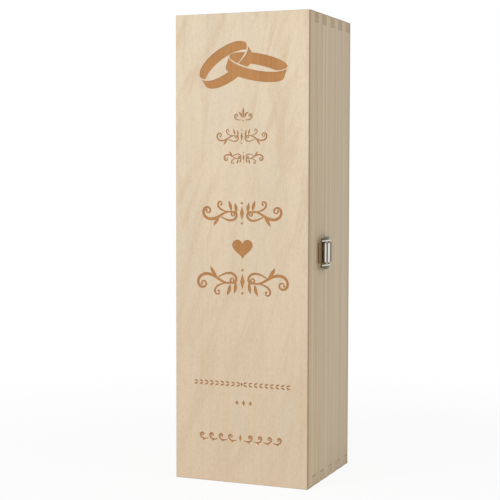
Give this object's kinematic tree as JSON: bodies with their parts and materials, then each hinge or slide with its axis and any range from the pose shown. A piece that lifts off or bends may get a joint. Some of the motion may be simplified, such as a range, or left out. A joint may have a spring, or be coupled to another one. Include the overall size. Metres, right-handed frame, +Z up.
{
  "type": "wooden bottle box",
  "caption": "Tall finger-jointed wooden box for one bottle, with a hinged front lid and a small toggle clasp on its side.",
  "frame": {"origin": "middle of the box's underside", "axes": "+Z up along the height, -Y towards the lid's front face, +X towards the clasp's side"},
  "size_m": [0.119, 0.1, 0.362],
  "materials": {
    "board": "planed light hardwood, bare, fine straight grain",
    "front_ply": "sanded light plywood face, bare, with burnt ornament",
    "back_ply": "sanded light plywood, bare",
    "nickel": "bright nickel-plated sheet",
    "steel": "plated steel screws, nails and pins"
  },
  "bodies": {
    "case": {"case_left_wall": "board", "case_right_wall": "board", "case_top_board": "board", "case_bottom_board": "board", "case_back_panel": "back_ply", "upper_hinge_case_leaf": "nickel", "lower_hinge_case_leaf": "nickel", "upper_hinge_pin": "steel", "lower_hinge_pin": "steel", "hinge_case_screws": "steel", "clasp_base_plate": "nickel", "clasp_base_nails": "steel", "clasp_lever_pin": "steel"},
    "lid": {"lid_front_panel": "front_ply", "lid_left_rail": "board", "lid_right_rail": "board", "lid_top_rail": "board", "lid_bottom_rail": "board", "upper_hinge_lid_leaf": "nickel", "lower_hinge_lid_leaf": "nickel", "hinge_lid_screws": "steel", "clasp_keeper": "nickel", "clasp_keeper_nails": "steel"},
    "lever": {"clasp_lever": "nickel", "clasp_loop_pin": "steel"},
    "loop": {"clasp_loop": "nickel"}
  },
  "joints": [
    {"name": "lid_swing", "type": "hinge", "parent": "case", "child": "lid", "pos_m": [-0.05675, -0.02, 0.181], "axis": [0, 0, -1], "range_deg": [0, 180]},
    {"name": "lever_turn", "type": "hinge", "parent": "case", "child": "lever", "pos_m": [0.0574, -0.0181, 0.179], "axis": [0, 0, -1], "range_deg": [-4, 150]},
    {"name": "loop_turn", "type": "hinge", "parent": "lever", "child": "loop", "pos_m": [0.0579, -0.0106, 0.179], "axis": [0, 0, -1], "range_deg": [-205, 6]}
  ],
  "couplings": [
    {"joint": "loop_turn", "follows": "lever_turn", "ratio": -1.35}
  ]
}
